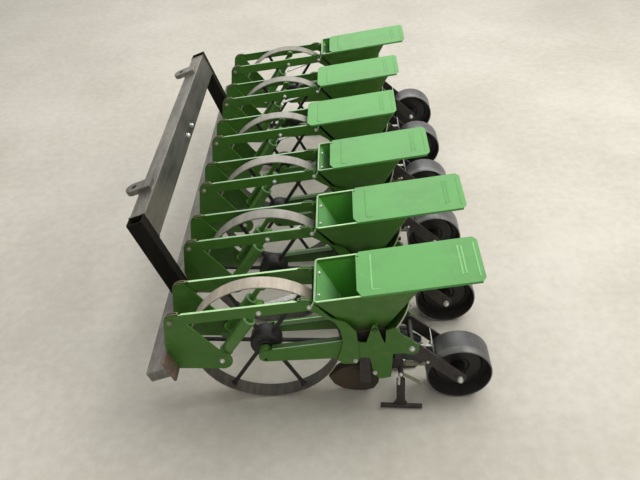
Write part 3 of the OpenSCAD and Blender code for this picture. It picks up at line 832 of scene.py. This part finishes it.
# %% A small builder of node trees
class Tree:
    """A Geometry Nodes tree with a material and some numbers as inputs, built node by node."""

    def __init__(self, name, numbers):
        self.group = bpy.data.node_groups.new(name, "GeometryNodeTree")
        face = self.group.interface
        face.new_socket("Geometry", in_out="INPUT", socket_type="NodeSocketGeometry")
        look = face.new_socket("Material", in_out="INPUT", socket_type="NodeSocketMaterial")
        self.names = {"Material": look.identifier}
        for key, value in numbers.items():
            socket = face.new_socket(key, in_out="INPUT", socket_type="NodeSocketFloat")
            socket.default_value = value
            self.names[key] = socket.identifier
        face.new_socket("Geometry", in_out="OUTPUT", socket_type="NodeSocketGeometry")
        self.source = self.group.nodes.new("NodeGroupInput")
        self.sink = self.group.nodes.new("NodeGroupOutput")

    def wire(self, name="Geometry"):
        return self.source.outputs[name]

    def add(self, kind, settings=None, sockets=None, out=0):
        node = self.group.nodes.new(kind)
        for key, value in (settings or {}).items():
            setattr(node, key, value)
        for key, value in (sockets or {}).items():
            for one in value if isinstance(value, list) else [value]:
                if isinstance(one, bpy.types.NodeSocket):
                    self.group.links.new(one, node.inputs[key])
                else:
                    node.inputs[key].default_value = one
        return node.outputs[out]

    def close(self, geometry):
        """Instances made real, the material set, and the tree's end wired."""
        real = self.add("GeometryNodeRealizeInstances", {}, {0: geometry})
        done = self.add("GeometryNodeSetMaterial", {}, {"Geometry": real, "Material": self.wire("Material")})
        self.group.links.new(done, self.sink.inputs[0])

    def grow(self, mesh, **values):
        """The mesh that this tree makes from mesh, with its inputs set by name."""
        holder = holder_of(mesh)
        modifier = holder.modifiers.new("grow", "NODES")
        modifier.node_group = self.group
        for key, value in values.items():
            modifier[self.names[key.replace("_", " ")]] = value
        return settled(holder)


# %% The crease tree
def crease_tree():
    tree = Tree("creases", {"Half width": 0.003, "Height": 0.001})
    line = tree.add("GeometryNodeMeshToCurve", {}, {0: tree.wire()})
    soft = tree.add("GeometryNodeFilletCurve", {"mode": "POLY"}, {
        "Curve": line, "Radius": 0.010, "Count": 5})
    circle = tree.add("GeometryNodeCurvePrimitiveCircle", {}, {"Resolution": 12, "Radius": 1.0})
    size = tree.add("ShaderNodeCombineXYZ", {}, {
        "X": tree.wire("Half width"), "Y": tree.wire("Height"), "Z": 1.0})
    oval = tree.add("GeometryNodeTransform", {}, {"Geometry": circle, "Scale": size})
    swept = tree.add("GeometryNodeCurveToMesh", {}, {
        "Curve": soft, "Profile Curve": oval, "Fill Caps": True})
    tree.close(swept)
    return tree


CREASE = crease_tree()

# %% Lid sheets and their creases
LID_OPENING = (0.184, 0.182, 0.100, 0.0, 0.038, 0.094)
LID_CLOSED_FRONT, LID_TOP = 0.151, 0.229
CREASE_NEAR, CREASE_FAR, CREASE_Z = -0.086, 0.088, LID_TOP + 0.0001
# The creases on a lid, as (distance from the lid's front edge, y) of their points
CREASES = (
    ((0.068, CREASE_NEAR), (0.046, CREASE_NEAR), (0.046, CREASE_FAR)),
    ((0.320, CREASE_NEAR + 0.016), (0.320, CREASE_FAR - 0.014)),
    ((0.331, CREASE_NEAR + 0.020), (0.331, CREASE_FAR - 0.018)),
    ((0.369, CREASE_NEAR), (0.369, CREASE_FAR - 0.008)),
)


def path_mesh(lines, where):
    """Edges through each line's points, in the frame where."""
    mesh = bpy.data.meshes.new("path")
    points, edges = [], []
    for line in lines:
        start = len(points)
        points += [where @ Vector(point) for point in line]
        edges += [(start + k, start + k + 1) for k in range(len(line) - 1)]
    mesh.from_pydata(points, edges, [])
    return mesh


for row in range(ROWS):
    body = f"lid_{row + 1}"
    softened(body, 0.0012, LID_PAINT_AND_LIGHT, body, 3)
    front = LID_CLOSED_FRONT + LID_OPENING[row]
    lines = [[(front + back, y, CREASE_Z) for back, y in crease] for crease in CREASES]
    # The first lid's creases are paler, a painted highlight
    pressed = LID_PAINT_AND_LIGHT if row else CREASE_HIGHLIGHT
    creases = CREASE.grow(path_mesh(lines, in_row(row, TILTED)), Material=pressed)
    finish_piece(body + "_creases", creases, body, pressed, sharp=40)
print("lids:", ROWS)

# %% [markdown]
# ## Bolts
# About a hundred and fifty bolts with washers hold the rows. Geometry Nodes put
# one bolt on each point of a cloud, turned and scaled by the point's own
# attributes, so that a new bolt is only a new line in the table.

# %% The bolt tree
def bolt_tree():
    tree = Tree("bolts", {"Head radius": 1.05, "Head height": 0.62, "Washer radius": 1.22})

    def lifted(shape, by):
        return tree.add("GeometryNodeTransform", {}, {"Geometry": shape, "Translation": (0.0, 0.0, by)})

    washer = tree.add("GeometryNodeMeshCylinder", {}, {
        "Vertices": 28, "Radius": tree.wire("Washer radius"), "Depth": 0.22})
    head = tree.add("GeometryNodeMeshCylinder", {}, {
        "Vertices": 6, "Radius": tree.wire("Head radius"), "Depth": tree.wire("Head height")})
    chamfer = tree.add("GeometryNodeMeshCone", {}, {
        "Vertices": 6, "Radius Top": 0.88, "Radius Bottom": tree.wire("Head radius"), "Depth": 0.12})
    ball = tree.add("GeometryNodeMeshUVSphere", {}, {"Segments": 20, "Rings": 10, "Radius": 0.84})
    dome = tree.add("GeometryNodeTransform", {}, {"Geometry": ball, "Scale": (1.0, 1.0, 0.55)})
    bolt = tree.add("GeometryNodeJoinGeometry", {}, {0: [
        lifted(washer, 0.11), lifted(head, 0.22 + 0.31), lifted(chamfer, 0.84), lifted(dome, 0.84)]})
    turn = tree.add("GeometryNodeInputNamedAttribute", {"data_type": "FLOAT_VECTOR"}, {"Name": "turn"})
    size = tree.add("GeometryNodeInputNamedAttribute", {"data_type": "FLOAT"}, {"Name": "size"})
    placed = tree.add("GeometryNodeInstanceOnPoints", {}, {
        "Points": tree.wire(), "Instance": bolt, "Rotation": turn, "Scale": size})
    tree.close(placed)
    return tree


BOLT = bolt_tree()


def bolt_cloud(bolts):
    """A point for each bolt: (place, direction, half width across flats)."""
    mesh = bpy.data.meshes.new("bolts")
    mesh.from_pydata([spot for spot, way, size in bolts], [], [])
    mesh.attributes.new("turn", "FLOAT_VECTOR", "POINT")
    mesh.attributes.new("size", "FLOAT", "POINT")
    turn, scale = mesh.attributes["turn"], mesh.attributes["size"]
    for k, (spot, way, size) in enumerate(bolts):
        spin = Quaternion((0, 0, 1), math.radians((k * 37) % 60))
        turn.data[k].vector = (Vector(way).to_track_quat("Z", "Y") @ spin).to_euler("XYZ")
        scale.data[k].value = size
    return mesh


# %% Bolts of the rows and the hitch
# x and z from the top bolt, the outer face's y, and half the head's width
ZINC_BOLTS = (
    (0.282, 0.030, 0.084, 0.0068), (0.638, -0.259, 0.072, 0.0066), (0.575, -0.193, 0.080, 0.0062),
    (0.757, -0.152, 0.072, 0.0086), (0.811, -0.223, 0.066, 0.0046), (0.921, -0.305, 0.074, 0.0080),
    (0.721, -0.243, 0.098, 0.0056), (0.142, -0.177, 0.080, 0.0072), (0.439, 0.048, 0.084, 0.0068),
)
DULL_BOLTS = ((0.000, 0.000, 0.084, 0.0080),)
PAINTED_BOLTS = ((0.638, -0.066, 0.072, 0.0072),)
# x and z in the tilted frame of two bolts on the hopper's front wall, and their y
HOPPER_BOLTS = ((0.2137, 0.206, -0.053), (0.2137, 0.206, 0.055))


def row_bolts(table, inside=()):
    bolts = []
    for row in range(ROWS):
        level, tilted = in_row(row, LEVEL), in_row(row, TILTED)
        for x, z, y, size in table:
            for side in (-1, 1):
                bolts.append((level @ Vector((x, side * y, z)), (0, side, 0), size))
        inward = tilted.to_3x3() @ Vector((0.894, 0.0, 0.447))
        for x, z, y in inside:
            bolts.append((tilted @ Vector((x, y, z)), inward, 0.0055))
    return bolts


def hitch_bolts():
    """Two domed bolts near the middle of the crossbar's rear face."""
    return [(LEANED @ Vector((0.014, y, 0.221)), rearward, 0.0095) for y in (-0.002, 0.088)]


for name, bolts, material in (
        ("zinc_bolts", row_bolts(ZINC_BOLTS, HOPPER_BOLTS) + hitch_bolts(), ZINC),
        ("dull_bolts", row_bolts(DULL_BOLTS), DULL), ("painted_bolts", row_bolts(PAINTED_BOLTS), SHADED_GREEN)):
    finish_piece(name, BOLT.grow(bolt_cloud(bolts), Material=material), "frame", material, sharp=30)
    print(name, len(bolts))

# %% [markdown]
# ## Weld beads
# A weld is a run of small overlapping drops. The tree cuts a path into short
# steps, lets the radius change from step to step, and sweeps a round profile.

# %% The weld tree
def weld_tree():
    tree = Tree("welds", {"Radius": 0.0030, "Step": 0.0018})
    line = tree.add("GeometryNodeMeshToCurve", {}, {0: tree.wire()})
    fine = tree.add("GeometryNodeResampleCurve", {"mode": "LENGTH"}, {
        "Curve": line, "Length": tree.wire("Step")})
    number = tree.add("GeometryNodeInputIndex")
    drop = tree.add("ShaderNodeMath", {"operation": "MODULO"}, {0: number, 1: 3.0})
    grow = tree.add("ShaderNodeMath", {"operation": "MULTIPLY_ADD"}, {0: drop, 1: 0.13, 2: 0.62})
    uneven = tree.add("ShaderNodeTexNoise", {}, {"Scale": 120.0, "Detail": 2.0})
    size = tree.add("ShaderNodeMath", {"operation": "MULTIPLY_ADD"}, {0: uneven, 1: 0.34, 2: grow})
    circle = tree.add("GeometryNodeCurvePrimitiveCircle", {}, {
        "Resolution": 8, "Radius": tree.wire("Radius")})
    swept = tree.add("GeometryNodeCurveToMesh", {}, {
        "Curve": fine, "Profile Curve": circle, "Scale": size, "Fill Caps": True})
    tree.close(swept)
    return tree


WELDER = weld_tree()

# %% Welds of the hitch and the wheels
ARM_IN, ARM_OUT, REACH = 0.679, 0.729, 0.299
ARM_FRONT, TONGUE_REAR, BAR_FACE, FOOT = -0.046, 0.008, 0.014, -0.037
TONGUE_Y, TONGUE_HALF = 0.5, 0.030


def hitch_welds():
    """Beads round the arms' heads and feet and the tongues' roots, in the leaning frame."""
    lines = []
    for side in (-1, 1):
        inner, outer = side * ARM_IN, side * ARM_OUT
        near, far = side * TONGUE_Y - TONGUE_HALF, side * TONGUE_Y + TONGUE_HALF
        lines += [
            [(BAR_FACE, inner, REACH - 0.105), (BAR_FACE, inner, REACH), (ARM_FRONT, inner, REACH),
             (ARM_FRONT, inner, REACH - 0.105)],
            [(-0.010, outer, FOOT), (ARM_FRONT, outer, FOOT), (ARM_FRONT, inner, FOOT),
             (-0.010, inner, FOOT)],
            [(0.0, outer, FOOT), (0.0, outer, -0.015), (0.0, inner, -0.015), (0.0, inner, FOOT)],
            [(ARM_FRONT, near, REACH), (TONGUE_REAR, near, REACH), (TONGUE_REAR, far, REACH),
             (ARM_FRONT, far, REACH)],
        ]
    return WELDER.grow(path_mesh(lines, LEANED), Material=WELD)


def spoke_welds(row):
    """A bead round each rod where it meets the hub and the band."""
    lines = []
    turns = [math.radians(30 * k) for k in range(13)]
    for angle in SPOKE_ANGLES:
        for out, radius in ((0.0515, 0.0085), (0.2432, 0.0098)):
            ring = [Vector((out, radius * math.cos(turn), radius * math.sin(turn))) for turn in turns]
            lines.append([Matrix.Rotation(-angle, 4, "Y") @ point for point in ring])
    where = in_row(row, place(FRONT_X, FRONT_R))
    return WELDER.grow(path_mesh(lines, where), Material=BLACK, Radius=0.0020, Step=0.0026)


finish_piece("hitch_welds", hitch_welds(), "frame", WELD, sharp=60)
for row in range(ROWS):
    finish_piece(f"spoke_welds_{row + 1}", spoke_welds(row), f"front_wheel_{row + 1}", BLACK, sharp=60)
print("welded pieces:", 1 + ROWS)

# %% [markdown]
# ## Small parts of the rows
# Bent clips on the links, pale strips of painted highlight along the bends of
# links and rails, a strap under each hopper's rim, the round edge of the curved
# sheet, and what shows under the rail beside the blade's shaft.

# %% Clips, straps and edges
def sides_of_rows(side_frame):
    """Each row's frame with each side's sign."""
    return [(in_row(row, side_frame), side) for row in range(ROWS) for side in (-1, 1)]


# The clips' outline from the link's end, in x and z of the link's frame
CLIP = ((0.033, 0.0264), (0.027, 0.0278), (0.017, 0.0288), (0.006, 0.0276), (-0.004, 0.0235),
        (-0.011, 0.0160))
CLIP_THICK, CLIP_IN, CLIP_OUT, CLIP_LEG = 0.0032, 0.0705, FLANGE_OUT, 0.0035


def clips(front):
    """Two legs and the two cross bars at a clip's ends, on each link."""
    path = CLIP if front else [(LINK_LONG - x, z) for x, z in CLIP]
    bm = bmesh.new()
    for where, side in sides_of_rows(LINKED):
        for y0, y1 in ((CLIP_IN, CLIP_IN + CLIP_LEG), (CLIP_OUT - CLIP_LEG, CLIP_OUT)):
            bent_strip(bm, path, CLIP_THICK, side * y0, side * y1, where)
        for part in (path[:2], path[-2:]):
            bent_strip(bm, part, CLIP_THICK, side * CLIP_IN, side * CLIP_OUT, where)
    return fixed(bm)


# Strips of painted highlight as (first x, last x, z, inner y, outer y) in the link's or the tilted frame
EDGE_THICK = 0.0006
LINK_EDGES = ((0.041, 0.402, FLANGE_TOP, 0.0755, 0.0803), (0.031, 0.409, FLANGE_TOP, 0.0803, FLANGE_OUT))
RAIL_EDGES = ((0.026, 0.290, 0.0141, 0.0620, 0.0655),)


def highlight_strips():
    """Pale strips that paint the highlight along the bends of the links and the rails."""
    bm = bmesh.new()
    for side_frame, strips in ((LINKED, LINK_EDGES), (TILTED, RAIL_EDGES)):
        for where, side in sides_of_rows(side_frame):
            for x0, x1, z, y0, y1 in strips:
                bent_strip(bm, [(x0, z), (x1, z)], EDGE_THICK, side * y0, side * y1, where)
    return fixed(bm)


SHEET_X, SHEET_Z, SHEET_R, SHEET_Y = 0.479, 0.075, 0.2685, 0.0645
SHEET_FROM, SHEET_SWEEP, SHEET_STEPS = -41.5, 37, 24
BEAD_HALF = 0.0024


def shield_edges():
    """A bead along both edges of each curved sheet, near white as a painted highlight."""
    arc = []
    for k in range(SHEET_STEPS + 1):
        angle = math.radians(SHEET_FROM + SHEET_SWEEP * k / SHEET_STEPS)
        arc.append((SHEET_X + SHEET_R * math.cos(angle), SHEET_Z + SHEET_R * math.sin(angle)))
    lines = []
    for where, side in sides_of_rows(LEVEL):
        lines.append([where @ Vector((x, side * SHEET_Y, z)) for x, z in arc])
    return CREASE.grow(path_mesh(lines, Matrix()), Material=PALE_HIGHLIGHT, Half_width=BEAD_HALF, Height=BEAD_HALF)


# The dark cover's outline, the ribbed bar and the short rod, in x and z of the level frame
ARCH = ((0.692, -0.240), (0.697, -0.226), (0.710, -0.214), (0.731, -0.206), (0.755, -0.208),
        (0.778, -0.219), (0.794, -0.234))
RIBBED, SHORT_ROD = ((0.722, -0.2500), (0.806, -0.2520)), ((0.738, -0.2240), (0.800, -0.2260))
RIBS, FIRST_RIB, RIB_STEP = 8, 0.732, 0.0095
# Profiles of (along, radius)
PIN = ((0.0, 0.0), (0.0, 0.0042), (0.034, 0.0046), (0.038, 0.0))
HOLE = ((0.0, 0.0), (0.0, 0.0058), (0.010, 0.0058), (0.010, 0.0))


def under_rail():
    """The dark cover, the ribbed bar, the blades' pins and black discs that paint the shade behind the
    plates' holes.
    """
    cover, bars, shade_discs, pins = bmesh.new(), bmesh.new(), bmesh.new(), bmesh.new()
    for where, side in sides_of_rows(LEVEL):
        bent_strip(cover, ARCH, 0.020, side * 0.036, side * 0.057, where)
        bent_strip(bars, RIBBED, 0.022, side * 0.040, side * 0.044, where)
        for rib in range(RIBS):
            x = FIRST_RIB + RIB_STEP * rib
            upright = [(x, -0.2600), (x + 0.001, -0.2410)]
            bent_strip(bars, upright, 0.0030, side * 0.043, side * 0.0460, where)
        bent_strip(bars, SHORT_ROD, 0.0045, side * 0.050, side * 0.0565, where)
        turned(pins, PIN, where @ Matrix.Translation((0.7145, side * 0.0995, -0.288)), 16)
        # A black disc behind the hole paints the shade inside it
        hole = where @ Matrix.Translation((0.283, side * 0.058, -0.187)) @ facing(side)
        turned(shade_discs, HOLE, hole, 20)
    return [fixed(bm) for bm in (cover, bars, shade_discs, pins)]


def rim_straps():
    bm = bmesh.new()
    for where, side in sides_of_rows(LEVEL):
        bent_strip(bm, [(0.4575, 0.0815), (0.4465, 0.0560)], 0.0045, side * 0.0865, side * 0.0900, where)
    return fixed(bm)


cover, bars, shade_discs, pins = under_rail()
SMALL_PARTS = (
    ("front_clips", clips(True), CLIP_GREEN, 30), ("rear_clips", clips(False), GREEN, 30),
    ("highlight_strips", highlight_strips(), HIGHLIGHT_GREEN, 30), ("rim_straps", rim_straps(), HIGHLIGHT_GREEN, 30),
    ("shield_edges", shield_edges(), PALE_HIGHLIGHT, 60), ("rail_covers", cover, RUBBER, 40),
    ("rail_bars", bars, DULL, 30), ("hole_shade_discs", shade_discs, BLACK, 30), ("blade_pins", pins, ZINC, 30),
)
small = {}
for name, mesh, look, sharp in SMALL_PARTS:
    small[name] = finish_piece(name, mesh, "frame", look, sharp=sharp)
# The far rows' highlight strips are dimmer
relook(small["highlight_strips"], FAR_HIGHLIGHT_GREEN, lambda centre, normal: centre.y > ROW_Y[0] + PITCH / 2)
print("pieces of small parts:", len(small))

# %% [markdown]
# ## The floor
# A plain pale floor takes the shadow. It is stage, not part of the machine.

# %% Floor and surroundings
def make_floor():
    bm = bmesh.new()
    bmesh.ops.create_grid(bm, x_segments=1, y_segments=1, size=20)
    mesh = mesh_of(bm)
    stone = Finish("floor")
    clouds = stone.noise(1.3, 5.0, 0.6)
    grain = stone.noise(24.0, 4.0, 0.6, seed=2.0)
    tone = (clouds * 0.6 + grain * 0.4).ramp(0.3, 0.7)
    base = stone.mix(tone, srgb(186, 181, 169), srgb(208, 204, 193))
    mesh.materials.append(stone.finish(color=base, rough=0.7 + grain * 0.1))
    floor = bpy.data.objects.new("floor", mesh)
    bpy.context.scene.collection.objects.link(floor)


def make_world():
    """Pale where the camera or a reflection sees it, and dimmer as a light on the machine."""
    world = bpy.data.worlds.new("world")
    bpy.context.scene.world = world
    world.use_nodes = True
    tree = world.node_tree
    light = tree.nodes["Background"]
    seen = tree.nodes.new("ShaderNodeLightPath")
    share = seen.outputs["Is Camera Ray"]
    for ray in ("Is Glossy Ray", "Is Transmission Ray"):
        either = tree.nodes.new("ShaderNodeMath")
        either.operation = "MAXIMUM"
        tree.links.new(share, either.inputs[0])
        tree.links.new(seen.outputs[ray], either.inputs[1])
        share = either.outputs[0]
    strength = tree.nodes.new("ShaderNodeMapRange")
    strength.inputs["To Min"].default_value = 0.32
    strength.inputs["To Max"].default_value = 0.9
    tree.links.new(share, strength.inputs["Value"])
    light.inputs["Color"].default_value = (1.0, 0.985, 0.96, 1.0)
    tree.links.new(strength.outputs[0], light.inputs["Strength"])


make_floor()
make_world()
